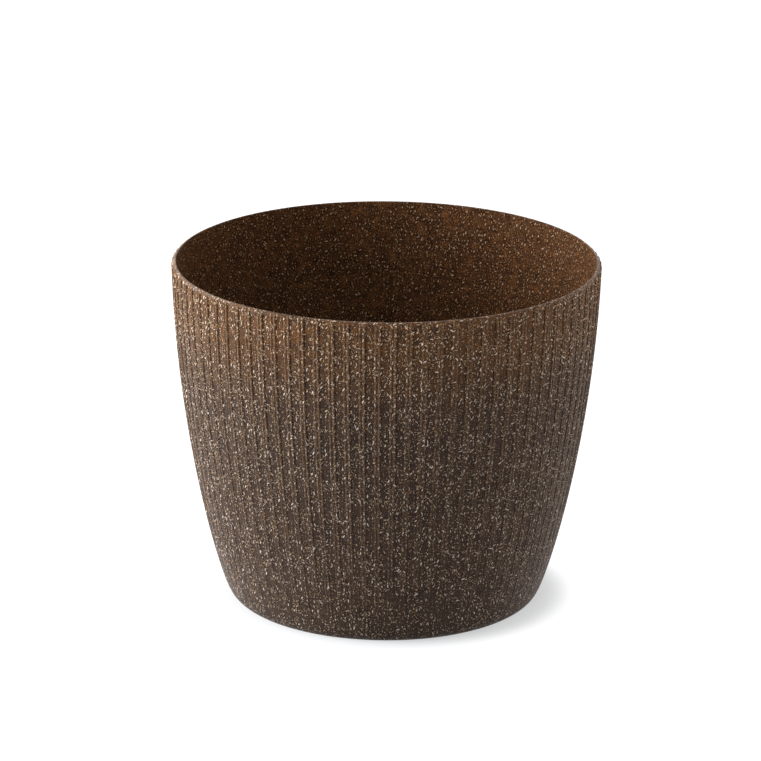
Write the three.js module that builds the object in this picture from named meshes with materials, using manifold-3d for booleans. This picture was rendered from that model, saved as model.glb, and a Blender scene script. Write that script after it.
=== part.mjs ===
// Fluted plant pot: one moulded plastic shell, and a rubber plug for the drain hole in its floor.
// Millimetres, +Z up, origin on the ground under the middle of the pot, front at -Y.

import * as THREE from 'three';
import { mergeVertices } from 'three/addons/utils/BufferGeometryUtils.js';
import Module from 'manifold-3d';

// Outside of the pot, measured over the crests of the ribs.
const HEIGHT = 155;
const RIM_RADIUS = 95;
const RIM_LEAN = 1.2; // degrees that the wall leans out from upright at the rim
const FOOT_RADIUS = 63; // outer edge of the flat that stands on the ground
const FOOT_CORNER = 7.5; // radius of the corner between foot and wall
const FOOT_LEAN = 30.6; // degrees that the wall leans out just above that corner
const LOWER_PULL = 0.075; // how far each lean holds up or down the wall, as shares of its height
const UPPER_PULL = 0.49;

// Walls.
const WALL = 1.6; // at the rim, between two pairs of ribs
const FLOOR = 2.6;
const INNER_CORNER = 7; // from the floor to where the inner wall runs straight
const RIM_ROUND = 1.9; // drop of the rounded shoulder outside the crisp inner edge of the rim

// Flutes: upright ribs in pairs, with a broad flat facet between one pair and the next. Their draft
// makes them fade out evenly from the rim down to the foot corner.
const FLUTE_PITCH = 6.8; // along the rim
const RIB_HEIGHT = 0.6; // at the rim
const RIB_SPACING = 1.8; // between the two crests of a pair, at the rim
const RIB_FLANK = 0.83; // from a crest out to the rib's root, at the rim
const GROOVE_FLOOR = 0.27; // height of the groove between the two crests, as a share of theirs
const FIRST_PAIR = 1.97; // degrees from the front to the nearest pair, towards the right

// Underside: a foot ring round a recess, with a collar and bars that stiffen the floor.
const FOOT_WIDTH = 5;
const RECESS = 4;
const RECESS_DRAFT = 0.8;
const COLLAR_WALL = 2.4;
const COLLAR_DROP = 2.2;
const BAR_COUNT = 6;
const BAR_WIDTH = 1.8;
const BAR_DROP = 1.8;
const BAR_TAPER = 0.7; // width at a bar's edge, as a share of the width at its root

// Floor: bars that hold the soil or an inner pot above the drain water.
const STANDOFF_WIDTH = 3;
const STANDOFF_HEIGHT = 2;
const STANDOFF_GAP = 9; // from each end to the plug's seat and to the inner corner

// Drain hole and its plug.
const DRAIN_RADIUS = 7;
const SEAT_LEDGE = 5.5; // width of the recessed ledge that the plug's head rests on
const SEAT_DEPTH = 1.1;
const FIT = 0.3; // gap between plug and pot
const HEAD_HEIGHT = 2.4;
const HEAD_ROUND = 0.8;
const STEM_TAPER = 0.5;
const STEM_WALL = 2;
const GROUND_GAP = 0.8; // from the plug's lower end to the ground
const TAB_WIDTH = 12;
const TAB_HEIGHT = 6;
const TAB_THICKNESS = 2.4;
const TAB_HOLE_RADIUS = 1.6;

// Mesh fineness.
const SHOULDER_STEP = 0.45; // where the shoulder's middle ring lies, as a share of its reach
const WALL_ROWS = 9;
const INNER_ROWS = 7;
const CORNER_ROWS = 3;
const DRAIN_SIDES = 40;

const radians = THREE.MathUtils.degToRad;
const wasm = await Module();
wasm.setup();

const fluteCount = Math.round((2 * Math.PI * RIM_RADIUS) / FLUTE_PITCH);
const floorTop = RECESS + FLOOR;
const seatLevel = floorTop - SEAT_DEPTH;
const seatRadius = DRAIN_RADIUS + SEAT_LEDGE;
const footInner = FOOT_RADIUS - FOOT_WIDTH;
const innerDepth = RIB_HEIGHT + WALL; // from the line over the crests to the inner wall

const potPlastic = new THREE.MeshStandardMaterial({ color: '#5d4a3c', roughness: 0.5, metalness: 0 });
const plugRubber = new THREE.MeshStandardMaterial({ color: '#2b2825', roughness: 0.8, metalness: 0 });

// Closed three.js geometry to a solid that can be joined and cut.
function toSolid(geometry) {
  const bare = geometry.clone();
  bare.deleteAttribute('normal');
  bare.deleteAttribute('uv');
  const merged = mergeVertices(bare, 1e-4);
  const vertProperties = new Float32Array(merged.attributes.position.array);
  const triVerts = new Uint32Array(merged.index.array);
  return new wasm.Manifold(new wasm.Mesh({ numProp: 3, vertProperties, triVerts }));
}

// Solid back to a three.js mesh with its own name and material.
function toMesh(solid, name, material) {
  const result = solid.getMesh();
  const geometry = new THREE.BufferGeometry();
  geometry.setAttribute('position', new THREE.BufferAttribute(result.vertProperties, 3));
  geometry.setIndex(new THREE.BufferAttribute(result.triVerts, 1));
  const flat = geometry.toNonIndexed();
  flat.computeVertexNormals();
  const mesh = new THREE.Mesh(flat, material);
  mesh.name = name;
  return mesh;
}

// Line of the outer wall, over the crests: x is the radius, y the height.
function wallCurve() {
  const lowerLean = new THREE.Vector2(Math.sin(radians(FOOT_LEAN)), Math.cos(radians(FOOT_LEAN)));
  const upperLean = new THREE.Vector2(Math.sin(radians(RIM_LEAN)), Math.cos(radians(RIM_LEAN)));
  const cornerRight = new THREE.Vector2(lowerLean.y, -lowerLean.x);
  const start = new THREE.Vector2(FOOT_RADIUS, FOOT_CORNER).addScaledVector(cornerRight, FOOT_CORNER);
  const end = new THREE.Vector2(RIM_RADIUS, HEIGHT);
  const rise = end.y - start.y;
  const startPull = start.clone().addScaledVector(lowerLean, rise * LOWER_PULL);
  const endPull = end.clone().addScaledVector(upperLean, -rise * UPPER_PULL);
  return new THREE.CubicBezierCurve(start, startPull, endPull, end);
}

// Point of a curve moved square to it, inwards from the outside of the pot.
function inset(curve, t, depth) {
  const along = curve.getTangent(t);
  return curve.getPoint(t).add(new THREE.Vector2(-along.y, along.x).multiplyScalar(depth));
}

// Where a curve, set in by a depth, passes a height.
function atHeight(curve, height, depth) {
  let low = 0;
  let high = 1;
  for (let step = 0; step < 40; step += 1) {
    const middle = (low + high) / 2;
    if (inset(curve, middle, depth).y < height) low = middle;
    else high = middle;
  }
  return (low + high) / 2;
}

// Ring of points round the pot: angles run once round from the facet beside the first pair.
function plainRing(radius, height, count = fluteCount) {
  const angles = Array.from({ length: count }, (_, k) => (2 * Math.PI * k) / count);
  return angles.map((angle) => ({ angle, radius, height }));
}

// Turns, as shares of one flute, at which the section of the ribs has its corners, with the part of
// the rib height that each stands proud.
function fluteSection() {
  const rimPitch = (2 * Math.PI * RIM_RADIUS) / fluteCount;
  const crest = RIB_SPACING / 2 / rimPitch;
  const root = crest + RIB_FLANK / rimPitch;
  return [
    { turn: 0.5 - root, proud: 0 },
    { turn: 0.5 - crest, proud: 1 },
    { turn: 0.5, proud: GROOVE_FLOOR },
    { turn: 0.5 + crest, proud: 1 },
    { turn: 0.5 + root, proud: 0 },
  ];
}

// Ring of the fluted wall: place tells the radius and height of a point that stands proud by a share.
function flutedRing(place) {
  const ring = [];
  for (let flute = 0; flute < fluteCount; flute += 1) {
    for (const { turn, proud } of fluteSection()) {
      const point = place(proud);
      ring.push({ angle: (2 * Math.PI * (flute + turn)) / fluteCount, radius: point.x, height: point.y });
    }
  }
  return ring;
}

// Triangles between two rings, walking round both at once, whatever their counts of points.
function bridge(lower, upper, lowerStart, upperStart, triangles) {
  const turnOf = (ring, k) => (k < ring.length ? ring[k].angle : ring[0].angle + 2 * Math.PI);
  let a = 0;
  let b = 0;
  while (a < lower.length || b < upper.length) {
    const stepLower = b === upper.length
      || (a < lower.length && turnOf(lower, a + 1) <= turnOf(upper, b + 1));
    const here = lowerStart + (a % lower.length);
    const above = upperStart + (b % upper.length);
    if (stepLower) {
      a += 1;
      triangles.push(here, lowerStart + (a % lower.length), above);
    } else {
      b += 1;
      triangles.push(here, upperStart + (b % upper.length), above);
    }
  }
}

// Closed body from rings that follow its section once round and end where they began.
function ringBody(rings) {
  const positions = [];
  const starts = [];
  for (const ring of rings) {
    starts.push(positions.length / 3);
    for (const { angle, radius, height } of ring) {
      positions.push(radius * Math.cos(angle), radius * Math.sin(angle), height);
    }
  }
  const triangles = [];
  rings.forEach((ring, k) => {
    const next = (k + 1) % rings.length;
    bridge(ring, rings[next], starts[k], starts[next], triangles);
  });
  const geometry = new THREE.BufferGeometry();
  geometry.setAttribute('position', new THREE.Float32BufferAttribute(positions, 3));
  geometry.setIndex(triangles);
  return geometry;
}

// Rings of the fluted outside, from the foot up to the inner edge of the rim.
function outerRings(curve) {
  const rings = [];
  const start = curve.getPoint(0);
  const ribHeight = (height) => (RIB_HEIGHT * (height - start.y)) / (HEIGHT - start.y);
  for (let row = 0; row < CORNER_ROWS; row += 1) {
    const turn = (radians(90 - FOOT_LEAN) * row) / CORNER_ROWS;
    const reach = FOOT_CORNER * Math.sin(turn);
    rings.push(plainRing(FOOT_RADIUS + reach, FOOT_CORNER * (1 - Math.cos(turn))));
  }
  rings.push(plainRing(start.x, start.y));
  const shoulderEnd = atHeight(curve, HEIGHT - RIM_ROUND, 0);
  for (let row = 1; row < WALL_ROWS; row += 1) {
    const t = shoulderEnd * (row / WALL_ROWS);
    const sink = ribHeight(curve.getPoint(t).y);
    rings.push(flutedRing((proud) => inset(curve, t, sink * (1 - proud))));
  }
  const edge = inset(curve, 1, innerDepth).x;
  const reach = RIM_RADIUS - edge;
  const onShoulder = (share) => HEIGHT - RIM_ROUND * (1 - Math.sqrt(Math.max(0, 1 - share * share)));
  rings.push(flutedRing((proud) => {
    const radius = inset(curve, shoulderEnd, ribHeight(HEIGHT - RIM_ROUND) * (1 - proud)).x;
    return new THREE.Vector2(radius, onShoulder(Math.min(1, (radius - edge) / reach)));
  }));
  rings.push(plainRing(edge + reach * SHOULDER_STEP, onShoulder(SHOULDER_STEP)));
  rings.push(plainRing(edge, HEIGHT));
  return rings;
}

// Rounded corner between the inner wall and the floor, from the wall down.
function innerCorner(curve) {
  const cornerTop = atHeight(curve, floorTop + INNER_CORNER, innerDepth);
  const top = inset(curve, cornerTop, innerDepth);
  const slope = curve.getTangent(cornerTop);
  const sharp = new THREE.Vector2(top.x - (slope.x / slope.y) * INNER_CORNER, floorTop);
  const bottom = new THREE.Vector2(sharp.x - INNER_CORNER, floorTop);
  return new THREE.QuadraticBezierCurve(top, sharp, bottom);
}

// Rings of the inside, from below the rim down to the flat of the floor.
function innerRings(curve) {
  const rings = [];
  const corner = innerCorner(curve);
  const cornerTop = atHeight(curve, corner.v0.y, innerDepth);
  const rim = atHeight(curve, HEIGHT, innerDepth);
  for (let row = 1; row <= INNER_ROWS; row += 1) {
    const point = inset(curve, rim + ((cornerTop - rim) * row) / INNER_ROWS, innerDepth);
    rings.push(plainRing(point.x, point.y));
  }
  for (let row = 1; row <= CORNER_ROWS; row += 1) {
    const point = corner.getPoint(row / CORNER_ROWS);
    rings.push(plainRing(point.x, point.y));
  }
  return rings;
}

// Rings of the drain hole, from the seat's edge down and out to the foot of its collar.
function drainRings() {
  const collarEnd = RECESS - COLLAR_DROP;
  const section = [
    [seatRadius, floorTop],
    [seatRadius, seatLevel],
    [DRAIN_RADIUS, seatLevel],
    [DRAIN_RADIUS, collarEnd],
    [DRAIN_RADIUS + COLLAR_WALL, collarEnd],
    [DRAIN_RADIUS + COLLAR_WALL, RECESS],
  ];
  return section.map(([radius, height]) => plainRing(radius, height, DRAIN_SIDES));
}

// Rings of the recess under the floor, out to the foot ring.
function undersideRings() {
  return [plainRing(footInner - RECESS_DRAFT, RECESS), plainRing(footInner, 0)];
}

// Straight bar with drafted sides, lying from one radius to another along +X.
function bar(from, to, width, low, high) {
  const topWidth = width * BAR_TAPER;
  const section = new THREE.Shape([
    new THREE.Vector2(-width / 2, 0),
    new THREE.Vector2(width / 2, 0),
    new THREE.Vector2(topWidth / 2, high - low),
    new THREE.Vector2(-topWidth / 2, high - low),
  ]);
  const geometry = new THREE.ExtrudeGeometry(section, { depth: to - from, bevelEnabled: false });
  geometry.rotateX(Math.PI / 2);
  geometry.rotateZ(Math.PI / 2);
  geometry.translate(from, 0, low);
  return geometry;
}

function potShell() {
  const curve = wallCurve();
  const rings = [...outerRings(curve), ...innerRings(curve), ...drainRings(), ...undersideRings()];
  let solid = toSolid(ringBody(rings));
  const rooted = FLOOR / 2; // how far each bar reaches into the floor that it grows from
  const floorEdge = innerCorner(curve).v2.x;
  for (let k = 0; k < BAR_COUNT; k += 1) {
    const turn = (2 * Math.PI * (k + 0.5)) / BAR_COUNT;
    const standoff = bar(seatRadius + STANDOFF_GAP, floorEdge - STANDOFF_GAP, STANDOFF_WIDTH,
      floorTop - rooted, floorTop + STANDOFF_HEIGHT);
    const stiffener = bar(DRAIN_RADIUS + COLLAR_WALL / 2, footInner + FOOT_WIDTH / 2, BAR_WIDTH,
      -RECESS - rooted, BAR_DROP - RECESS);
    stiffener.rotateX(Math.PI);
    solid = solid.add(toSolid(standoff.rotateZ(turn)));
    solid = solid.add(toSolid(stiffener.rotateZ(turn)));
  }
  const shell = toMesh(solid, 'pot_shell', potPlastic);
  shell.rotation.z = radians(FIRST_PAIR - 90) - Math.PI / fluteCount;
  return shell;
}

// Rubber plug, made standing on its own seat: head with a rounded edge, hollow tapered stem, pull tab.
function drainPlug() {
  const headRadius = seatRadius - FIT;
  const stemRadius = DRAIN_RADIUS - FIT;
  const stemEnd = GROUND_GAP - seatLevel - FIT;
  const hollowTop = -STEM_WALL / 2;
  const section = new THREE.Shape();
  section.moveTo(0, hollowTop);
  section.lineTo(stemRadius - STEM_WALL, hollowTop);
  section.lineTo(stemRadius - STEM_WALL, stemEnd);
  section.lineTo(stemRadius - STEM_TAPER, stemEnd);
  section.lineTo(stemRadius, 0);
  section.lineTo(headRadius, 0);
  section.lineTo(headRadius, HEAD_HEIGHT - HEAD_ROUND);
  section.absarc(headRadius - HEAD_ROUND, HEAD_HEIGHT - HEAD_ROUND, HEAD_ROUND, 0, Math.PI / 2, false);
  section.lineTo(0, HEAD_HEIGHT);
  const body = toSolid(new THREE.LatheGeometry(section.getPoints(3), DRAIN_SIDES).rotateX(Math.PI / 2));

  const half = TAB_WIDTH / 2;
  const tabShape = new THREE.Shape();
  tabShape.moveTo(-half, -HEAD_HEIGHT / 2);
  tabShape.lineTo(half, -HEAD_HEIGHT / 2);
  tabShape.lineTo(half, 0);
  tabShape.absellipse(0, 0, half, TAB_HEIGHT, 0, Math.PI, false, 0);
  const hole = new THREE.Path();
  hole.absarc(0, TAB_HEIGHT / 2, TAB_HOLE_RADIUS, 0, 2 * Math.PI, true);
  tabShape.holes.push(hole);
  const tab = new THREE.ExtrudeGeometry(tabShape, {
    depth: TAB_THICKNESS,
    bevelEnabled: false,
    curveSegments: 8,
  });
  tab.translate(0, 0, -TAB_THICKNESS / 2);
  tab.rotateX(Math.PI / 2);
  tab.translate(0, 0, HEAD_HEIGHT);

  const plug = toMesh(body.add(toSolid(tab)), 'drain_plug', plugRubber);
  plug.position.z = seatLevel + FIT;
  return plug;
}

const plantPot = new THREE.Group();
plantPot.add(potShell(), drainPlug());

export default plantPot;
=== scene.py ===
# Fluted plastic plant pot with a rubber drain plug, in metres, +Z up, its front towards -Y.

import math

import bpy
from mathutils import Matrix, Vector
from mathutils.geometry import interpolate_bezier


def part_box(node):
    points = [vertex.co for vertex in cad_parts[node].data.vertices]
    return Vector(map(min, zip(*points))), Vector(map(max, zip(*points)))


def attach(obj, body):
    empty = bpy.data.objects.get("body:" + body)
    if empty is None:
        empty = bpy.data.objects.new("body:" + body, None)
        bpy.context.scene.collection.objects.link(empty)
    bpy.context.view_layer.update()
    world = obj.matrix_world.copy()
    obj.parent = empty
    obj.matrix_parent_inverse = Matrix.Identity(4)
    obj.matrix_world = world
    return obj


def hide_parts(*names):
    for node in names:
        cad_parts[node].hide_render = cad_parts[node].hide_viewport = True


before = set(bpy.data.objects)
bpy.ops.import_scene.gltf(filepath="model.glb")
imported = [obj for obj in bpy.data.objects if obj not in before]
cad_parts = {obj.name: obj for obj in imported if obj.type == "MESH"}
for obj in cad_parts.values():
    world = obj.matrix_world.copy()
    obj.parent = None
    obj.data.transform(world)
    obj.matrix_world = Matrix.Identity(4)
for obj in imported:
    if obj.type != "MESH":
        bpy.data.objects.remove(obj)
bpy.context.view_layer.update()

# Pot shell: one injection moulding of polypropylene filled with wood fibre. The tool's cavity cuts the
# paired ribs, which run from the rounded shoulder of the rim down to the corner of the foot. The core
# leaves the inside smooth, with bars on the floor that hold an inner pot clear of the drain water.
RIM_RADIUS = 0.095
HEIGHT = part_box("pot_shell")[1].z
RIM_LEAN = math.radians(1.2)
FOOT_RADIUS = 0.063
FOOT_CORNER = 0.0075
FOOT_LEAN = math.radians(30.6)
LOWER_PULL = 0.075
UPPER_PULL = 0.49
WALL = 0.0016
FLOOR = 0.0026
INNER_CORNER = 0.007
RIM_ROUND = 0.0019
EDGE_ROUND = 0.00035
UNDER_ROUND = 0.0003
FILLET_HOLD = 0.45

# One flute is a flat facet and a close pair of ribs. The steps are shares of half the groove between the
# two ribs, and of a rib's outer flank.
FLUTE_COUNT = 88
RIB_HEIGHT = 0.0006
RIB_SPACING = 0.0018
RIB_FLANK = 0.00083
GROOVE_SHARE = 0.27
RIB_FULLNESS = 0.62
GROOVE_STEPS = 0.3, 0.65
FLANK_STEPS = 0.0, 0.25, 0.5, 0.75, 0.9, 1.0, 1.25, 1.6
# ROOT_STEP and ROOT_LINE place the painted shade in the rib roots: where on the outer flank it lies, and
# how wide.
ROOT_STEP = 0.9
ROOT_LINE = 0.0003
FIRST_PAIR = math.radians(1.97)
RIB_END = 0.0010
RIB_INSIDE_CAD = 0.00006
RIB_FADE = 0.6
MARK_FADE = 0.7

# Underside, drain hole, and the bars under and on the floor.
FOOT_WIDTH = 0.005
RECESS = 0.004
RECESS_DRAFT = 0.0008
COLLAR_WALL = 0.0024
COLLAR_DROP = 0.0022
BAR_COUNT = 6
BAR_WIDTH = 0.0018
BAR_DROP = 0.0018
STANDOFF_WIDTH = 0.003
STANDOFF_HEIGHT = 0.002
STANDOFF_GAP = 0.009
BAR_TAPER = 0.7
BAR_EDGE = 0.12
DRAIN_RADIUS = 0.007
SEAT_LEDGE = 0.0055
SEAT_DEPTH = 0.0011

# How finely each part is divided, and how clear of the rim and the floor's corner its plain rows stop.
WALL_ROWS = 40
INNER_ROWS = 24
CORNER_ROWS = 8
RIB_END_ROWS = 6
SHOULDER_ROWS = 5
EDGE_ROWS = 3
UNDER_ROWS = 3
PLAIN_SIDES = 352
DRAIN_SIDES = 96
SHOULDER_CLEAR = 1.2
CORNER_CLEAR = 1.15
EDGE_CLEAR = 4
SHARP_TURN = math.radians(50)

floor_top = RECESS + FLOOR
seat_level = floor_top - SEAT_DEPTH
seat_radius = DRAIN_RADIUS + SEAT_LEDGE
foot_inner = FOOT_RADIUS - FOOT_WIDTH
inner_depth = RIB_HEIGHT + WALL
pattern_turn = FIRST_PAIR - math.pi / 2 - math.pi / FLUTE_COUNT


def wall_line(rows):
    """Points up the outside over the rib crests, as (radius, height), with their inward normals."""
    lower = Vector((math.sin(FOOT_LEAN), math.cos(FOOT_LEAN)))
    upper = Vector((math.sin(RIM_LEAN), math.cos(RIM_LEAN)))
    start = Vector((FOOT_RADIUS, FOOT_CORNER)) + FOOT_CORNER * Vector((lower.y, -lower.x))
    end = Vector((RIM_RADIUS - RIB_INSIDE_CAD, HEIGHT))
    rise = end.y - start.y
    pulls = start + rise * LOWER_PULL * lower, end - rise * UPPER_PULL * upper
    points = [p.to_2d() for p in interpolate_bezier(start.to_3d(), pulls[0].to_3d(), pulls[1].to_3d(),
                                                    end.to_3d(), rows + 1)]
    ways = [lower] + [(b - a).normalized() for a, b in zip(points, points[2:])] + [upper]
    return [(p, Vector((-way.y, way.x))) for p, way in zip(points, ways)]


def fillet(corner, before, after, radius, rows):
    """Rounded corner of a section, from the side of the point before it to that of the point after."""
    start = corner + (before - corner).normalized() * radius
    end = corner + (after - corner).normalized() * radius
    pull = 1 - FILLET_HOLD
    return [p.to_2d() for p in interpolate_bezier(start.to_3d(), start.lerp(corner, pull).to_3d(),
                                                  end.lerp(corner, pull).to_3d(), end.to_3d(), rows)]


def flute_section():
    """Points of one flute: share of its turn, how proud the skin stands and its painted shade in a rib
    root.
    """
    pitch = 2 * math.pi * RIM_RADIUS / FLUTE_COUNT

    def rounded(step):
        return (0.5 + 0.5 * math.cos(math.pi * min(step, 1.0))) ** RIB_FULLNESS

    section = [(0.0, 0.0, 0.0), (0.5, GROOVE_SHARE, 0.0)]
    for side in (-1, 1):
        for step in GROOVE_STEPS:
            place = side * RIB_SPACING / 2 * (1 - step)
            section.append((0.5 + place / pitch, GROOVE_SHARE + (1 - GROOVE_SHARE) * rounded(step), 0.0))
        for step in FLANK_STEPS:
            place = side * (RIB_SPACING / 2 + step * RIB_FLANK)
            # The root value marks where the foot of each rib's outer flank gets painted shade.
            root = math.exp(-((step - ROOT_STEP) * RIB_FLANK / ROOT_LINE) ** 2)
            section.append((0.5 + place / pitch, rounded(step), root))
    return sorted(section)


def plain_ring(radius, height, normal, sides=PLAIN_SIDES, brow=0.0):
    """Round ring: turn, radius, height, section normal and marks (crest, root shade, brow) of each point.
    """
    return [(2 * math.pi * k / sides, radius, height, normal, (0.0, 0.0, brow)) for k in range(sides)]


def fluted_ring(place, normal, strength, end_shade=0.0, brow=0.0):
    """Ring of the fluted wall. place gives radius and height of a point proud by a share; end_shade
    paints shade.
    """
    ring = []
    clear = strength ** MARK_FADE
    for flute in range(FLUTE_COUNT):
        for share, proud, root in flute_section():
            radius, height = place(proud)
            marks = (proud * clear, max(root * clear, proud * end_shade), brow * (1 - proud * clear))
            ring.append((2 * math.pi * (flute + share) / FLUTE_COUNT, radius, height, normal, marks))
    return ring


def bridge(lower, upper, lower_start, upper_start):
    """Faces between two rings, walking round both, four-sided where their points pair up."""
    def turn(ring, k):
        return ring[k][0] if k < len(ring) else ring[0][0] + 2 * math.pi

    faces, a, b = [], 0, 0
    if len(lower) == len(upper):
        for k in range(len(lower)):
            after = (k + 1) % len(lower)
            faces.append((lower_start + k, lower_start + after, upper_start + after, upper_start + k))
        return faces
    while a < len(lower) or b < len(upper):
        here, above = lower_start + a % len(lower), upper_start + b % len(upper)
        if b == len(upper) or (a < len(lower) and turn(lower, a + 1) <= turn(upper, b + 1)):
            a += 1
            faces.append((here, lower_start + a % len(lower), above))
        else:
            b += 1
            faces.append((here, upper_start + b % len(upper), above))
    return faces


def section_normals(points):
    """Outward normals of a section that is walked up its outside, as (radius, height) vectors."""
    ends = [points[0]] + points + [points[-1]]
    ways = [(after - before).normalized() for before, after in zip(ends, ends[2:])]
    return [Vector((way.y, -way.x)) for way in ways]


def shell_rings():
    """Rings of the shell: up the outside, over the rim, down the inside and back under the floor."""
    line = wall_line(WALL_ROWS)
    corner = [Vector((FOOT_RADIUS, FOOT_CORNER)) + FOOT_CORNER * Vector((math.sin(a), -math.cos(a)))
              for a in [(math.pi / 2 - FOOT_LEAN) * k / CORNER_ROWS for k in range(CORNER_ROWS)]]
    rings = [plain_ring(p.x, p.y, n) for p, n in zip(corner, section_normals(corner))]
    foot_top = line[0][0].y
    rings.append(plain_ring(line[0][0].x, foot_top, -line[0][1]))
    for point, inward in line[1:-1]:
        if point.y > HEIGHT - SHOULDER_CLEAR * RIM_ROUND:
            break
        rise = (point.y - foot_top) / (HEIGHT - foot_top)
        sink = RIB_HEIGHT * rise ** RIB_FADE
        rings.append(fluted_ring(lambda proud: point + inward * sink * (1 - proud), -inward, rise))

    edge = RIM_RADIUS - inner_depth
    reach = RIM_RADIUS - RIB_INSIDE_CAD - RIB_HEIGHT - edge - EDGE_ROUND
    rib_end = math.asin(RIB_END / RIM_ROUND)
    turns = [math.asin(math.sin(math.pi / 2 * k / RIB_END_ROWS) * RIB_END / RIM_ROUND)
             for k in range(RIB_END_ROWS + 1)]
    turns += [rib_end + (math.pi / 2 - rib_end) * (k + 1) / SHOULDER_ROWS
              for k in range(SHOULDER_ROWS)]
    for row, turn in enumerate(turns):
        out = Vector((math.cos(turn), math.sin(turn)))
        facet = Vector((edge + EDGE_ROUND + reach * out.x, HEIGHT - RIM_ROUND * (1 - out.y)))
        left = math.sqrt(max(0.0, 1 - (RIM_ROUND * out.y / RIB_END) ** 2))
        # On the ring where the ribs end, end_shade lays painted shade over their proud tops.
        end_shade = 1.0 if row == RIB_END_ROWS else 0.0
        brow = max(0.0, (row - RIB_END_ROWS) / SHOULDER_ROWS)
        rings.append(fluted_ring(lambda proud: facet + out * RIB_HEIGHT * proud * left,
                                 out, left, end_shade, brow))
    first_inside = len(rings)
    for k in range(1, EDGE_ROWS + 1):
        tilt = math.pi / 2 * (1 + k / EDGE_ROWS)
        out = Vector((math.cos(tilt), math.sin(tilt)))
        place = Vector((edge + EDGE_ROUND, HEIGHT - EDGE_ROUND)) + EDGE_ROUND * out
        rings.append(plain_ring(place.x, place.y, out, brow=1.0 if k < EDGE_ROWS else 0.0))

    inner = [(p + inward * inner_depth, inward) for p, inward in wall_line(INNER_ROWS)]
    corner_top = floor_top + INNER_CORNER
    kept = [(p, n) for p, n in inner
            if corner_top * CORNER_CLEAR < p.y < HEIGHT - EDGE_CLEAR * EDGE_ROUND]
    rings += [plain_ring(p.x, p.y, n) for p, n in reversed(kept)]
    low_point, low_inward = kept[0]
    slope = Vector((low_inward.y, -low_inward.x))
    sharp = low_point - slope * ((low_point.y - floor_top) / slope.y)
    floor_edge = sharp.x - INNER_CORNER
    turn = fillet(sharp, low_point, Vector((0, floor_top)), INNER_CORNER, CORNER_ROWS + 1)
    rings += [plain_ring(p.x, p.y, -n) for p, n in zip(turn, section_normals(turn[::-1])[::-1])]

    collar_end = RECESS - COLLAR_DROP
    seat = [(seat_radius, floor_top), (seat_radius, seat_level), (DRAIN_RADIUS, seat_level)]
    under = [
        (DRAIN_RADIUS, collar_end), (DRAIN_RADIUS + COLLAR_WALL, collar_end),
        (DRAIN_RADIUS + COLLAR_WALL, RECESS), (foot_inner - RECESS_DRAFT, RECESS), (foot_inner, 0),
    ]
    outline = [Vector(c) for c in [(floor_edge, floor_top)] + seat + under + [(FOOT_RADIUS, 0)]]
    for k, (before, here, after) in enumerate(zip(outline, outline[1:], outline[2:])):
        if k == len(seat):
            last_inside = len(rings) - 1
        sides = DRAIN_SIDES if here.x < 2 * seat_radius else PLAIN_SIDES
        turn = fillet(here, before, after, UNDER_ROUND, UNDER_ROWS)
        rings += [plain_ring(p.x, p.y, n, sides) for p, n in zip(turn, section_normals(turn))]
    return rings, floor_edge, range(first_inside, last_inside + 1)


def drafted_bar(start, end, width, root, edge, turn):
    """Closed bar along a radius, narrower at its free edge, with small flats along its edges."""
    lift = edge - root
    flat = abs(lift) * BAR_EDGE
    narrow = width * BAR_TAPER
    sections = [(0.0, width, 0.0), (lift - math.copysign(flat, lift), narrow + flat, 0.0),
                (lift, narrow - flat, flat)]
    verts = []
    for rise, across, back in sections:
        for along, side in ((start + back, -1), (end - back, -1), (end - back, 1), (start + back, 1)):
            spot = Vector((along, side * across / 2, root + rise))
            verts.append(Matrix.Rotation(turn, 4, "Z") @ spot)
    faces = [(0, 3, 2, 1), (8, 9, 10, 11)]
    for level in (0, 4):
        for k in range(4):
            faces.append((level + k, level + (k + 1) % 4, level + 4 + (k + 1) % 4, level + 4 + k))
    if lift < 0:
        faces = [face[::-1] for face in faces]
    return verts, faces


def pot_mesh():
    """Mesh of the shell with its bars, its two finishes and the marks that its materials read."""
    rings, floor_edge, inside = shell_rings()
    verts, normals, marks, faces, finishes, starts = [], [], [], [], [], []
    for ring in rings:
        starts.append(len(verts))
        for turn, radius, height, normal, rib in ring:
            way = Vector((math.cos(turn + pattern_turn), math.sin(turn + pattern_turn), 0))
            verts.append(way * radius + Vector((0, 0, height)))
            normals.append(way * normal.x + Vector((0, 0, normal.y)))
            marks.append(rib)
    for k, ring in enumerate(rings):
        after = (k + 1) % len(rings)
        band = bridge(ring, rings[after], starts[k], starts[after])
        faces += band
        finishes += [1 if k in inside else 0] * len(band)
    rooted = FLOOR / 2
    for k in range(BAR_COUNT):
        turn = 2 * math.pi * (k + 0.5) / BAR_COUNT + pattern_turn
        for finish, bar in (
            (1, drafted_bar(seat_radius + STANDOFF_GAP, floor_edge - STANDOFF_GAP, STANDOFF_WIDTH,
                            floor_top - rooted, floor_top + STANDOFF_HEIGHT, turn)),
            (0, drafted_bar(DRAIN_RADIUS + COLLAR_WALL / 2, foot_inner + FOOT_WIDTH / 2, BAR_WIDTH,
                            RECESS + rooted, RECESS - BAR_DROP, turn)),
        ):
            first = len(verts)
            verts += bar[0]
            normals += [Vector((0, 0, 1))] * len(bar[0])
            marks += [(0.0, 0.0, 0.0)] * len(bar[0])
            faces += [tuple(first + v for v in face) for face in bar[1]]
            finishes += [finish] * len(bar[1])
    mesh = bpy.data.meshes.new("pot_shell_moulding")
    mesh.from_pydata(verts, [], faces)
    mesh.polygons.foreach_set("material_index", finishes)
    skin = mesh.attributes.new("skin_normal", "FLOAT_VECTOR", "POINT")
    skin.data.foreach_set("vector", [x for n in normals for x in n.normalized()])
    ribs = mesh.attributes.new("crest_root_shade_and_brow", "FLOAT_VECTOR", "POINT")
    ribs.data.foreach_set("vector", [x for mark in marks for x in mark])
    mesh.shade_smooth()
    mesh.set_sharp_from_angle(angle=SHARP_TURN)
    return mesh


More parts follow.
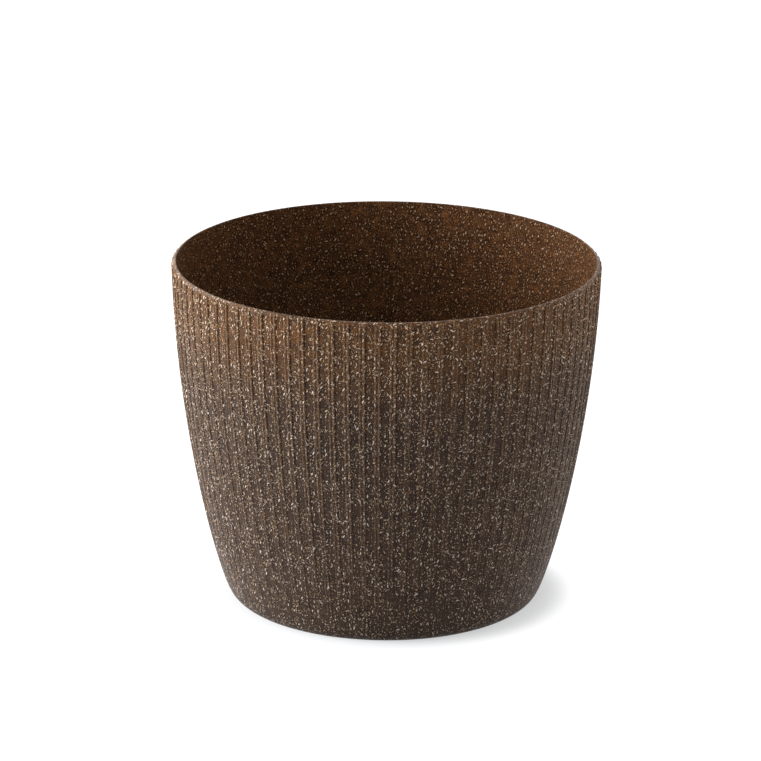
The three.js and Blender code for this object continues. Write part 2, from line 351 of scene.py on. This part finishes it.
def linear(code):
    """sRGB hex colour as linear red, green, blue and alpha."""
    shares = [int(code[k:k + 2], 16) / 255 for k in (1, 3, 5)]
    return [s / 12.92 if s <= 0.04045 else ((s + 0.055) / 1.055) ** 2.4 for s in shares] + [1.0]


def add(tree, kind, inputs=None, **settings):
    """Adds a node with its settings, and sets or links each of its named or numbered inputs."""
    made = tree.nodes.new(kind)
    for name, value in settings.items():
        setattr(made, name, value)
    for socket, value in (inputs or {}).items():
        if isinstance(value, bpy.types.NodeSocket):
            tree.links.new(value, made.inputs[socket])
        else:
            made.inputs[socket].default_value = value
    return made


# Wood-fibre-filled polypropylene, moulded against a satin tool: a dark melt with tan to cream fibres,
# 0.2 to 2 mm long, that lie bowed and flat in the skin and lean up the wall with the flow of the melt.
# They crowd in places, on the ribs most, and stand out sharp from a satin skin outside. Inside, the skin
# that shrank on to the core is matt, and a thin film of brown resin veils them.
# Each size of fibre: cell, half length and half width in mm, share of cells that hold one, and its dark
# and pale tint. Length, width and depth vary by chance, and the melt beside a fibre is darker.
FIBRES = [
    (2.6, 1.00, 0.205, 0.50, "#C39863", "#FFF3E8"),
    (1.8, 0.75, 0.165, 0.58, "#957452", "#E8D3BD"),
    (1.2, 0.42, 0.15, 0.60, "#745B45", "#C6AC94"),
    (0.8, 0.22, 0.13, 0.50, "#5A493D", "#9A8676"),
]
LAYER_SHIFT = (7.3, 3.1, 5.7)
LENGTH_SPREAD = 0.5, 1.0
WIDTH_SPREAD = 0.75, 1.3
DEPTH_SPREAD = 0.6, 1.0
FIBRE_BOW = 1.4
FLOW_LEAN = 0.5
FIBRE_END = 1.05
FIBRE_EDGE = "#1B0F07"
EDGE_SPAN = 1.2, 2.6

# Ground tones and painted light: towards the rim the ground turns warmer, more golden and lighter, which
# is painted light; the rib crests get tan streaks of painted light, and the rib roots and the tops of the
# rib ends dark painted shade. It clouds over 12 mm, with patches of 3 mm. The skin's own grain and pits
# are finer than 0.1 mm, so they are drawn at 0.6 and 0.7 mm, where they just show. The brow, which is the
# rounded shoulder of the rim, is worn a little smoother and glossier.
RIM_PAINTED_LIGHT = "#724D2B"
RIM_PAINTED_GLOW = (0.16, 0.07, -0.05)
RIM_SPAN = 0.10, 0.152
RIM_SPREAD = 0.1, 0.7
CREST_PAINTED_LIGHT = "#927156"
CREST_LIGHT_SHARE = 0.7
ROOT_PAINTED_SHADE = "#170B04"
ROOT_SHADE_SHARE = 0.75
CLOUD_SIZE = 0.012
CLUSTER_SIZE = 0.005
PATCH_SIZE = 0.003
STREAK_LENGTH = 0.003
GRAIN_SIZE = 0.0006
GRAIN_SPAN = 0.3, 0.7
GRAIN_SPREAD = 0.6, 1.45
PIT_SIZE = 0.0007
CROWD_SPREAD = 0.5, 1.35
CREST_CROWD = 0.8
RIM_CROWD = 0.15
BROW_CROWD = 0.3
FIBRE_RELIEF = 0.4
SKIN_BUMP = 0.25
SKIN_DEPTH = 0.00006
PLASTIC_IOR = 1.49
BROW_POLISH = 0.15
BROW_GLOSS = 0.2
WORN_SPAN = 0.3, 0.6
WORN_SPREAD = 0.2, 1.0

# Inputs 1 and 2 of a Map Range: the part of 0 to 1 that a noise mostly keeps to.
NOISE_SPAN = {1: 0.35, 2: 0.65}

# The two finishes: tones of the melt and how much its patches show; what veils the fibres, how strong,
# how dark-edged, how crowded, how wide and how soft they are; roughness, gloss, and share of the painted
# light and extra fibres near the rim.
OUTSIDE = {
    "dark": "#392E2A", "warm": "#473A32", "patch": "#574436", "patches": 0.15,
    "veil": "#FFFFFF", "shown": 1.0, "shade": 0.6, "crowding": 1.1, "swell": 1.0, "core": 0.75,
    "rough": (0.38, 0.56), "gloss": 0.075, "rim": 1.0,
}
INSIDE = {
    "dark": "#3A261B", "warm": "#4D3323", "patch": "#7F532F", "patches": 0.6,
    "veil": "#DCC2A8", "shown": 0.8, "shade": 0.7, "crowding": 1.7, "swell": 1.5, "core": 0.3,
    "rough": (0.65, 0.8), "gloss": 0.01, "rim": 0.1,
}


def fibre_layer(tree, place, skin, spread, side, number, size):
    """One size of fibre: where it shows, where its edge shades the melt, and its tone, all 0 to 1."""
    cell, half_length, half_width, share = size
    shifted = add(tree, "ShaderNodeVectorMath",
                  {0: place, 1: (1000 / cell,) * 3, 2: [step * number for step in LAYER_SHIFT]},
                  operation="MULTIPLY_ADD").outputs[0]
    cells = add(tree, "ShaderNodeTexVoronoi", {"Vector": shifted, "Scale": 1.0, "Randomness": 1.0})
    chance = add(tree, "ShaderNodeSeparateXYZ", {0: cells.outputs["Color"]}).outputs
    offset = add(tree, "ShaderNodeVectorMath", {0: shifted, 1: cells.outputs["Position"]},
                 operation="SUBTRACT").outputs[0]
    aim = add(tree, "ShaderNodeVectorMath",
              {0: cells.outputs["Color"], 1: (1, 1, FLOW_LEAN), 2: (-0.5, -0.5, -0.5 * FLOW_LEAN)},
              operation="MULTIPLY_ADD").outputs[0]
    lying = add(tree, "ShaderNodeVectorMath", {0: aim, 1: skin}, operation="CROSS_PRODUCT").outputs[0]
    along = add(tree, "ShaderNodeVectorMath", {0: lying}, operation="NORMALIZE").outputs[0]
    across = add(tree, "ShaderNodeVectorMath", {0: skin, 1: along}, operation="CROSS_PRODUCT").outputs[0]
    lengthways = add(tree, "ShaderNodeVectorMath", {0: offset, 1: along},
                     operation="DOT_PRODUCT").outputs["Value"]
    sideways = add(tree, "ShaderNodeVectorMath", {0: offset, 1: across},
                   operation="DOT_PRODUCT").outputs["Value"]
    length = half_length / cell
    width = half_width * side["swell"] / cell
    short, long = [part * length for part in LENGTH_SPREAD]
    narrow, wide = [part * width for part in WIDTH_SPREAD]
    reach = add(tree, "ShaderNodeMapRange", {0: chance[1], 3: short, 4: long}).outputs[0]
    breadth = add(tree, "ShaderNodeMapRange", {0: chance[2], 3: narrow, 4: wide}).outputs[0]
    u = add(tree, "ShaderNodeMath", {0: lengthways, 1: reach}, operation="DIVIDE").outputs[0]
    v = add(tree, "ShaderNodeMath", {0: sideways, 1: breadth}, operation="DIVIDE").outputs[0]
    square = add(tree, "ShaderNodeMath", {0: u, 1: u}, operation="MULTIPLY").outputs[0]
    bow = add(tree, "ShaderNodeMapRange",
              {0: chance[0], 2: share, 3: -FIBRE_BOW, 4: FIBRE_BOW}).outputs[0]
    v = add(tree, "ShaderNodeMath", {0: square, 1: bow, 2: v}, operation="MULTIPLY_ADD").outputs[0]
    oval = add(tree, "ShaderNodeCombineXYZ", {0: u, 1: v}).outputs[0]
    edge = add(tree, "ShaderNodeVectorMath", {0: oval}, operation="LENGTH").outputs["Value"]
    covered = add(tree, "ShaderNodeMapRange",
                  {0: edge, 1: FIBRE_END, 2: side["core"], 3: 0.0, 4: side["shown"]},
                  interpolation_type="SMOOTHSTEP").outputs[0]
    beside = add(tree, "ShaderNodeMapRange",
                 {0: edge, 1: EDGE_SPAN[1], 2: EDGE_SPAN[0], 3: 0.0, 4: side["shade"]},
                 interpolation_type="SMOOTHSTEP").outputs[0]
    here = add(tree, "ShaderNodeMath", {0: spread, 1: share}, operation="MULTIPLY").outputs[0]
    held = add(tree, "ShaderNodeMath", {0: chance[0], 1: here}, operation="LESS_THAN").outputs[0]
    deep, shallow = DEPTH_SPREAD
    depth = add(tree, "ShaderNodeMapRange", {0: chance[2], 3: deep, 4: shallow}).outputs[0]
    shown = add(tree, "ShaderNodeMath", {0: covered, 1: held}, operation="MULTIPLY").outputs[0]
    shown = add(tree, "ShaderNodeMath", {0: shown, 1: depth}, operation="MULTIPLY").outputs[0]
    shaded = add(tree, "ShaderNodeMath", {0: beside, 1: held}, operation="MULTIPLY").outputs[0]
    return shown, shaded, chance[1]


def moulded_fibre_plastic(name, side):
    """Fibre-filled polypropylene with the finish of one side of the wall."""
    material = bpy.data.materials.new(name)
    material.use_nodes = True
    tree = material.node_tree
    tree.nodes.clear()
    place = add(tree, "ShaderNodeTexCoord").outputs["Object"]
    skin = add(tree, "ShaderNodeAttribute", attribute_name="skin_normal").outputs["Vector"]
    marks = add(tree, "ShaderNodeAttribute", attribute_name="crest_root_shade_and_brow").outputs["Vector"]
    crest, root, brow = add(tree, "ShaderNodeSeparateXYZ", {0: marks}).outputs[:3]
    rise = add(tree, "ShaderNodeSeparateXYZ", {0: place}).outputs[2]

    cloud = add(tree, "ShaderNodeTexNoise", {"Vector": place, "Scale": 1 / CLOUD_SIZE, "Detail": 3.0})
    cloudy = add(tree, "ShaderNodeMapRange", {0: cloud.outputs["Fac"], **NOISE_SPAN}).outputs[0]
    colour = add(tree, "ShaderNodeMix", {0: cloudy, 6: linear(side["dark"]), 7: linear(side["warm"])},
                 data_type="RGBA").outputs[2]
    patch = add(tree, "ShaderNodeTexNoise", {"Vector": place, "Scale": 1 / PATCH_SIZE, "Detail": 2.0})
    patchy = add(tree, "ShaderNodeMapRange",
                 {0: patch.outputs["Fac"], **NOISE_SPAN, 4: side["patches"]}).outputs[0]
    colour = add(tree, "ShaderNodeMix", {0: patchy, 6: colour, 7: linear(side["patch"])},
                 data_type="RGBA").outputs[2]
    # Painted light: the ground turns warmer towards the rim, in patches.
    low, high = RIM_SPAN
    near_rim = add(tree, "ShaderNodeMapRange", {0: rise, 1: low, 2: high, 4: side["rim"]},
                   interpolation_type="SMOOTHSTEP").outputs[0]
    least, most = RIM_SPREAD
    warm = add(tree, "ShaderNodeMapRange",
               {0: patch.outputs["Fac"], **NOISE_SPAN, 3: least, 4: most}).outputs[0]
    rim_light_share = add(tree, "ShaderNodeMath", {0: near_rim, 1: warm}, operation="MULTIPLY").outputs[0]
    colour = add(tree, "ShaderNodeMix", {0: rim_light_share, 6: colour, 7: linear(RIM_PAINTED_LIGHT)},
                 data_type="RGBA").outputs[2]

    # Painted light: tan streaks along the rib crests, where the convex ribs would catch the light.
    drawn = add(tree, "ShaderNodeVectorMath",
                {0: place, 1: (1 / GRAIN_SIZE, 1 / GRAIN_SIZE, 1 / STREAK_LENGTH)},
                operation="MULTIPLY").outputs[0]
    streak = add(tree, "ShaderNodeTexNoise", {"Vector": drawn, "Scale": 1.0, "Detail": 1.0})
    streaky = add(tree, "ShaderNodeMapRange",
                  {0: streak.outputs["Fac"], **NOISE_SPAN, 4: CREST_LIGHT_SHARE}).outputs[0]
    tan = add(tree, "ShaderNodeMath", {0: crest, 1: streaky}, operation="MULTIPLY").outputs[0]
    colour = add(tree, "ShaderNodeMix", {0: tan, 6: colour, 7: linear(CREST_PAINTED_LIGHT)},
                 data_type="RGBA").outputs[2]
    # Painted shade: dark lines in the rib roots and over the rib ends.
    root_shade = add(tree, "ShaderNodeMath", {0: root, 1: ROOT_SHADE_SHARE}, operation="MULTIPLY").outputs[0]
    colour = add(tree, "ShaderNodeMix", {0: root_shade, 6: colour, 7: linear(ROOT_PAINTED_SHADE)},
                 data_type="RGBA").outputs[2]
    grain = add(tree, "ShaderNodeTexNoise", {"Vector": place, "Scale": 1 / GRAIN_SIZE, "Detail": 1.0})
    low, high = GRAIN_SPAN
    least, most = GRAIN_SPREAD
    grainy = add(tree, "ShaderNodeMapRange",
                 {0: grain.outputs["Fac"], 1: low, 2: high, 3: least, 4: most}).outputs[0]
    colour = add(tree, "ShaderNodeVectorMath", {0: colour, 3: grainy}, operation="SCALE").outputs[0]

    cluster = add(tree, "ShaderNodeTexNoise", {"Vector": place, "Scale": 1 / CLUSTER_SIZE, "Detail": 1.0})
    least, most = [share * side["crowding"] for share in CROWD_SPREAD]
    crowd = add(tree, "ShaderNodeMapRange",
                {0: cluster.outputs["Fac"], **NOISE_SPAN, 3: least, 4: most}).outputs[0]
    more = 1.0
    for mark, extra in ((crest, CREST_CROWD), (near_rim, RIM_CROWD), (brow, BROW_CROWD)):
        more = add(tree, "ShaderNodeMath", {0: mark, 1: extra, 2: more},
                   operation="MULTIPLY_ADD").outputs[0]
    spread = add(tree, "ShaderNodeMath", {0: crowd, 1: more}, operation="MULTIPLY").outputs[0]
    for number, (*size, dark, pale) in reversed(list(enumerate(FIBRES))):
        shown, shaded, tone = fibre_layer(tree, place, skin, spread, side, number, size)
        colour = add(tree, "ShaderNodeMix", {0: shaded, 6: colour, 7: linear(FIBRE_EDGE)},
                     data_type="RGBA").outputs[2]
        ends = [[t * v for t, v in zip(linear(tint), linear(side["veil"]))] for tint in (dark, pale)]
        tint = add(tree, "ShaderNodeMix", {0: tone, 6: ends[0], 7: ends[1]}, data_type="RGBA").outputs[2]
        colour = add(tree, "ShaderNodeMix", {0: shown, 6: colour, 7: tint}, data_type="RGBA").outputs[2]

    # Painted light: the whole colour, fibres too, turns lighter and more golden towards the rim.
    rim_glow = add(tree, "ShaderNodeVectorMath", {0: RIM_PAINTED_GLOW, 3: near_rim}, operation="SCALE").outputs[0]
    rim_glow = add(tree, "ShaderNodeVectorMath", {0: rim_glow, 1: (1, 1, 1)}, operation="ADD").outputs[0]
    colour = add(tree, "ShaderNodeVectorMath", {0: colour, 1: rim_glow}, operation="MULTIPLY").outputs[0]

    pits = add(tree, "ShaderNodeTexNoise", {"Vector": place, "Scale": 1 / PIT_SIZE, "Detail": 2.0})
    height = add(tree, "ShaderNodeMath", {0: shown, 1: FIBRE_RELIEF, 2: pits.outputs["Fac"]},
                 operation="MULTIPLY_ADD").outputs[0]
    bump = add(tree, "ShaderNodeBump", {"Height": height, "Strength": SKIN_BUMP, "Distance": SKIN_DEPTH})
    smooth, coarse = side["rough"]
    roughness = add(tree, "ShaderNodeMapRange", {0: pits.outputs["Fac"], 3: smooth, 4: coarse}).outputs[0]
    roughness = add(tree, "ShaderNodeMath", {0: brow, 1: -BROW_POLISH, 2: roughness},
                    operation="MULTIPLY_ADD").outputs[0]
    low, high = WORN_SPAN
    least, most = WORN_SPREAD
    worn = add(tree, "ShaderNodeMapRange",
               {0: patch.outputs["Fac"], 1: low, 2: high, 3: least, 4: most}).outputs[0]
    worn = add(tree, "ShaderNodeMath", {0: brow, 1: worn}, operation="MULTIPLY").outputs[0]
    gloss = add(tree, "ShaderNodeMapRange", {0: worn, 3: side["gloss"], 4: BROW_GLOSS}).outputs[0]
    shader = add(tree, "ShaderNodeBsdfPrincipled",
                 {"Base Color": colour, "Roughness": roughness, "IOR": PLASTIC_IOR,
                  "Specular IOR Level": gloss, "Normal": bump.outputs[0]})
    add(tree, "ShaderNodeOutputMaterial", {"Surface": shader.outputs[0]})
    return material


pot = bpy.data.objects.new("fluted_pot_shell", pot_mesh())
bpy.context.scene.collection.objects.link(pot)
pot.data.materials.append(moulded_fibre_plastic("satin_wood_fibre_polypropylene", OUTSIDE))
pot.data.materials.append(moulded_fibre_plastic("matt_wood_fibre_polypropylene", INSIDE))
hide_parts("pot_shell")
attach(pot, "pot")

# Drain plug: pressed rubber, pushed in from above, with a pull tab on its head. It is darker and more
# matt than the pot and carries a faint bloom of dust.
FIT = 0.0003
HEAD_HEIGHT = 0.0024
HEAD_ROUND = 0.0008
STEM_TAPER = 0.0005
STEM_WALL = 0.002
GROUND_GAP = 0.0008
TAB_WIDTH = 0.012
TAB_HEIGHT = 0.006
TAB_THICKNESS = 0.0024
TAB_HOLE_RADIUS = 0.0016
TAB_ROUND = 0.0004
PLUG_SIDES = 96
HEAD_STEPS = 6
TAB_STEPS = 20
PLUG_SHARP_TURN = math.radians(40)


def turned(section, sides):
    """Closed body turned from a section that starts and ends on the axis."""
    verts = [Vector((0, 0, section[0].y))]
    for point in section[1:-1]:
        for k in range(sides):
            turn = 2 * math.pi * k / sides
            verts.append(Vector((point.x * math.cos(turn), point.x * math.sin(turn), point.y)))
    verts.append(Vector((0, 0, section[-1].y)))
    faces = []
    for k in range(sides):
        after = (k + 1) % sides
        faces.append((0, 1 + after, 1 + k))
        for row in range(len(section) - 3):
            low, high = 1 + row * sides, 1 + (row + 1) * sides
            faces.append((low + k, low + after, high + after, high + k))
        last = 1 + (len(section) - 3) * sides
        faces.append((last + k, last + after, len(verts) - 1))
    return verts, faces


def pull_tab():
    """Flat half-round tab with a hole, as loops round its edge and its hole at four depths."""
    centre = TAB_HEIGHT / 2
    verts = []
    levels = [(-0.5, TAB_ROUND), (-0.5 + TAB_ROUND / TAB_THICKNESS, 0.0),
              (0.5 - TAB_ROUND / TAB_THICKNESS, 0.0), (0.5, TAB_ROUND)]
    for level, back in levels:
        for k in range(TAB_STEPS * 2):
            turn = 2 * math.pi * (k + 0.5) / (TAB_STEPS * 2)
            half, tall = TAB_WIDTH / 2 - back, TAB_HEIGHT - back
            reach_x, reach_z = math.cos(turn), math.sin(turn)
            low = -HEAD_HEIGHT / 2
            outer = Vector((half * reach_x, tall * reach_z if reach_z > 0 else low))
            verts.append(Vector((outer.x, level * TAB_THICKNESS, outer.y)))
        for k in range(TAB_STEPS * 2):
            turn = 2 * math.pi * (k + 0.5) / (TAB_STEPS * 2)
            hole = TAB_HOLE_RADIUS + back
            verts.append(Vector((hole * math.cos(turn), level * TAB_THICKNESS,
                                 centre + hole * math.sin(turn))))
    count = TAB_STEPS * 2
    faces = []
    for k in range(count):
        after = (k + 1) % count
        for row in range(len(levels) - 1):
            low, high = row * 2 * count, (row + 1) * 2 * count
            faces.append((low + after, low + k, high + k, high + after))
            faces.append((low + count + k, low + count + after, high + count + after, high + count + k))
        faces.append((k, after, count + after, count + k))
        top = (len(levels) - 1) * 2 * count
        faces.append((top + after, top + k, top + count + k, top + count + after))
    return verts, faces


def plug_mesh():
    """Mesh of the plug: a head with a rounded edge, a hollow stem and the tab."""
    head = seat_radius - FIT
    stem = DRAIN_RADIUS - FIT
    stem_end = GROUND_GAP - seat_level - FIT
    bore = stem - STEM_WALL
    top = [Vector((head - HEAD_ROUND + HEAD_ROUND * math.cos(a),
                   HEAD_HEIGHT - HEAD_ROUND + HEAD_ROUND * math.sin(a)))
           for a in [math.pi / 2 * k / HEAD_STEPS for k in range(HEAD_STEPS + 1)]]
    section = [Vector((0, -STEM_WALL / 2)), Vector((bore, -STEM_WALL / 2)), Vector((bore, stem_end)),
               Vector((stem - STEM_TAPER, stem_end)), Vector((stem, 0)), Vector((head, 0))]
    section += top + [Vector((0, HEAD_HEIGHT))]
    verts, faces = turned(section, PLUG_SIDES)
    tab_verts, tab_faces = pull_tab()
    first = len(verts)
    verts += [v + Vector((0, 0, HEAD_HEIGHT)) for v in tab_verts]
    faces += [tuple(first + v for v in face) for face in tab_faces]
    mesh = bpy.data.meshes.new("drain_plug_rubber")
    mesh.from_pydata([v + Vector((0, 0, seat_level + FIT)) for v in verts], [], faces)
    mesh.shade_smooth()
    mesh.set_sharp_from_angle(angle=PLUG_SHARP_TURN)
    return mesh


# Moulded rubber: near-black brown, matt, with a fine orange-peel skin and a cloudy bloom of pale dust.
# The peel is finer than 0.1 mm, so it is drawn at 0.4 mm, where it just shows.
RUBBER = "#1E1B19"
RUBBER_BLOOM = "#4A443E"
RUBBER_ROUGH = 0.62, 0.85
RUBBER_IOR = 1.52
BLOOM_SIZE = 0.003
BLOOM_SPAN = 0.45, 0.75
BLOOM_SHARE = 0.5
PEEL_SIZE = 0.0004
PEEL_BUMP = 0.3
PEEL_DEPTH = 0.00005


def moulded_rubber():
    """Matt rubber with a bloom of dust."""
    material = bpy.data.materials.new("moulded_rubber")
    material.use_nodes = True
    tree = material.node_tree
    tree.nodes.clear()
    place = add(tree, "ShaderNodeTexCoord").outputs["Object"]
    bloom = add(tree, "ShaderNodeTexNoise", {"Vector": place, "Scale": 1 / BLOOM_SIZE, "Detail": 5.0})
    low, high = BLOOM_SPAN
    amount = add(tree, "ShaderNodeMapRange",
                 {0: bloom.outputs["Fac"], 1: low, 2: high, 4: BLOOM_SHARE}).outputs[0]
    colour = add(tree, "ShaderNodeMix", {0: amount, 6: linear(RUBBER), 7: linear(RUBBER_BLOOM)},
                 data_type="RGBA").outputs[2]
    peel = add(tree, "ShaderNodeTexNoise", {"Vector": place, "Scale": 1 / PEEL_SIZE, "Detail": 2.0})
    bump = add(tree, "ShaderNodeBump",
               {"Height": peel.outputs["Fac"], "Strength": PEEL_BUMP, "Distance": PEEL_DEPTH})
    clean, dusty = RUBBER_ROUGH
    roughness = add(tree, "ShaderNodeMapRange", {0: amount, 3: clean, 4: dusty}).outputs[0]
    shader = add(tree, "ShaderNodeBsdfPrincipled",
                 {"Base Color": colour, "Roughness": roughness, "IOR": RUBBER_IOR,
                  "Normal": bump.outputs[0]})
    add(tree, "ShaderNodeOutputMaterial", {"Surface": shader.outputs[0]})
    return material


plug = bpy.data.objects.new("drain_plug_with_tab", plug_mesh())
bpy.context.scene.collection.objects.link(plug)
plug.data.materials.append(moulded_rubber())
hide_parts("drain_plug")
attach(plug, "plug")

# Studio: the pot stands on a paper sheet in a white room. Both light the pot as grey, and look white to
# the camera and in reflections. Four soft boxes light it too: a broad one on the left, a warmer one on
# the right, a small one in front and one above and behind. The sheet's glow sinks a little all round the
# foot, and more on the right, away from the broad box: a painted shadow that deepens the pot's soft cast
# shadow.
SHEET_RADIUS = 3.0
SHEET_FRONT = 0.42
SHEET_SHADE = "#828284"
SHEET_GLOW = 0.97
SIDE_SHADOW_GLOW = 0.70
FOOT_SHADOW_GLOW = 0.78
SIDE_SHADOW_CENTRE = (0.013, 0.001, 0)
SIDE_SHADOW_EDGE = -0.003, 0.012
FOOT_SHADOW_EDGE = 0.002, 0.024
SHEET_TINT = "#FDFEFF"
ROOM_WHITE = "#FFFFFF"
ROOM_SHADE = "#646464"
BOX_DISTANCE = 1.1

sheet_mesh = bpy.data.meshes.new("paper_sheet")
sheet_mesh.from_pydata(
    [(-SHEET_RADIUS, -SHEET_FRONT, 0), (SHEET_RADIUS, -SHEET_FRONT, 0), (SHEET_RADIUS, SHEET_RADIUS, 0),
     (-SHEET_RADIUS, SHEET_RADIUS, 0)], [], [(0, 1, 2, 3)])
sheet = bpy.data.objects.new("paper_sheet", sheet_mesh)
bpy.context.scene.collection.objects.link(sheet)

paper = bpy.data.materials.new("white_paper")
paper.use_nodes = True
tree = paper.node_tree
tree.nodes.clear()
rays = add(tree, "ShaderNodeLightPath").outputs
seen = rays["Is Camera Ray"]
for kind in ("Is Glossy Ray", "Is Transmission Ray"):
    seen = add(tree, "ShaderNodeMath", {0: seen, 1: rays[kind]}, operation="MAXIMUM").outputs[0]
place = add(tree, "ShaderNodeTexCoord").outputs["Object"]
amount = seen
# Painted shadow: the glow sinks round the foot, most on the right.
for centre, (near, far), low, high in ((SIDE_SHADOW_CENTRE, SIDE_SHADOW_EDGE, SIDE_SHADOW_GLOW, SHEET_GLOW),
                                       ((0, 0, 0), FOOT_SHADOW_EDGE, FOOT_SHADOW_GLOW, 1.0)):
    apart = add(tree, "ShaderNodeVectorMath", {0: place, 1: centre},
                operation="DISTANCE").outputs["Value"]
    light = add(tree, "ShaderNodeMapRange",
                {0: apart, 1: FOOT_RADIUS + near, 2: FOOT_RADIUS + far, 3: low, 4: high},
                interpolation_type="SMOOTHSTEP").outputs[0]
    amount = add(tree, "ShaderNodeMath", {0: amount, 1: light}, operation="MULTIPLY").outputs[0]
matt = add(tree, "ShaderNodeBsdfDiffuse", {"Color": linear(SHEET_SHADE)}).outputs[0]
glow = add(tree, "ShaderNodeEmission", {"Color": linear(SHEET_TINT), "Strength": amount}).outputs[0]
both = add(tree, "ShaderNodeAddShader", {0: matt, 1: glow}).outputs[0]
add(tree, "ShaderNodeOutputMaterial", {"Surface": both})
sheet_mesh.materials.append(paper)

world = bpy.data.worlds.new("white_room")
world.use_nodes = True
tree = world.node_tree
tree.nodes.clear()
rays = add(tree, "ShaderNodeLightPath").outputs
seen = rays["Is Camera Ray"]
for kind in ("Is Glossy Ray", "Is Transmission Ray"):
    seen = add(tree, "ShaderNodeMath", {0: seen, 1: rays[kind]}, operation="MAXIMUM").outputs[0]
room = add(tree, "ShaderNodeBackground", {"Color": linear(ROOM_SHADE), "Strength": 1.0}).outputs[0]
white = add(tree, "ShaderNodeBackground", {"Color": linear(ROOM_WHITE), "Strength": 1.0}).outputs[0]
mixed = add(tree, "ShaderNodeMixShader", {0: seen, 1: room, 2: white}).outputs[0]
add(tree, "ShaderNodeOutputWorld", {"Surface": mixed})
bpy.context.scene.world = world


def soft_box(name, azimuth, elevation, width, height, radiance, colour=ROOM_WHITE):
    """Rectangular lamp that faces the pot: azimuth 0 is the camera's side, 90 the right."""
    lamp = bpy.data.lights.new(name, "AREA")
    lamp.shape = "RECTANGLE"
    lamp.size = width
    lamp.size_y = height
    lamp.color = linear(colour)[:3]
    lamp.energy = radiance * math.pi * width * height
    lit = bpy.data.objects.new(name, lamp)
    a, e = math.radians(azimuth), math.radians(elevation)
    away = Vector((math.sin(a) * math.cos(e), -math.cos(a) * math.cos(e), math.sin(e)))
    lit.location = Vector((0, 0, HEIGHT / 2)) + away * BOX_DISTANCE
    lit.rotation_euler = away.to_track_quat("Z", "Y").to_euler()
    bpy.context.scene.collection.objects.link(lit)


soft_box("left_box", -92, 18, width=1.7, height=0.6, radiance=9.6)
soft_box("right_box", 98, 11, width=1.3, height=0.5, radiance=3.0, colour="#FFF5EC")
soft_box("front_box", 10, 35, width=0.8, height=0.5, radiance=2.7)
soft_box("back_box", 180, 58, width=0.8, height=0.5, radiance=2.0)

# Camera: a long lens 2.25 m away, looking a little down, turned by the small angles of the photograph.
CAMERA_DISTANCE = 2.25
CAMERA_ELEVATION = math.radians(18.61)
CAMERA_TARGET_HEIGHT = 0.075
CAMERA_YAW = math.radians(0.058)
CAMERA_PITCH = math.radians(0.577)
CAMERA_ROLL = math.radians(-0.481)
FOCAL_PIXELS = 5045.2
PICTURE_PIXELS = 761
SENSOR_WIDTH = 36.0
CLIP_END = 20

lens = bpy.data.cameras.new("long_lens")
lens.sensor_width = SENSOR_WIDTH
lens.lens = FOCAL_PIXELS * SENSOR_WIDTH / PICTURE_PIXELS
lens.clip_end = CLIP_END
camera = bpy.data.objects.new("camera", lens)
bpy.context.scene.collection.objects.link(camera)
camera.matrix_world = (
    Matrix.Translation((0, -CAMERA_DISTANCE * math.cos(CAMERA_ELEVATION),
                        CAMERA_TARGET_HEIGHT + CAMERA_DISTANCE * math.sin(CAMERA_ELEVATION)))
    @ Matrix.Rotation(math.pi / 2 - CAMERA_ELEVATION, 4, "X")
    @ Matrix.Rotation(CAMERA_YAW, 4, "Y")
    @ Matrix.Rotation(CAMERA_PITCH, 4, "X")
    @ Matrix.Rotation(-CAMERA_ROLL, 4, "Z")
)
bpy.context.scene.camera = camera
bpy.context.scene.view_settings.view_transform = "Standard"
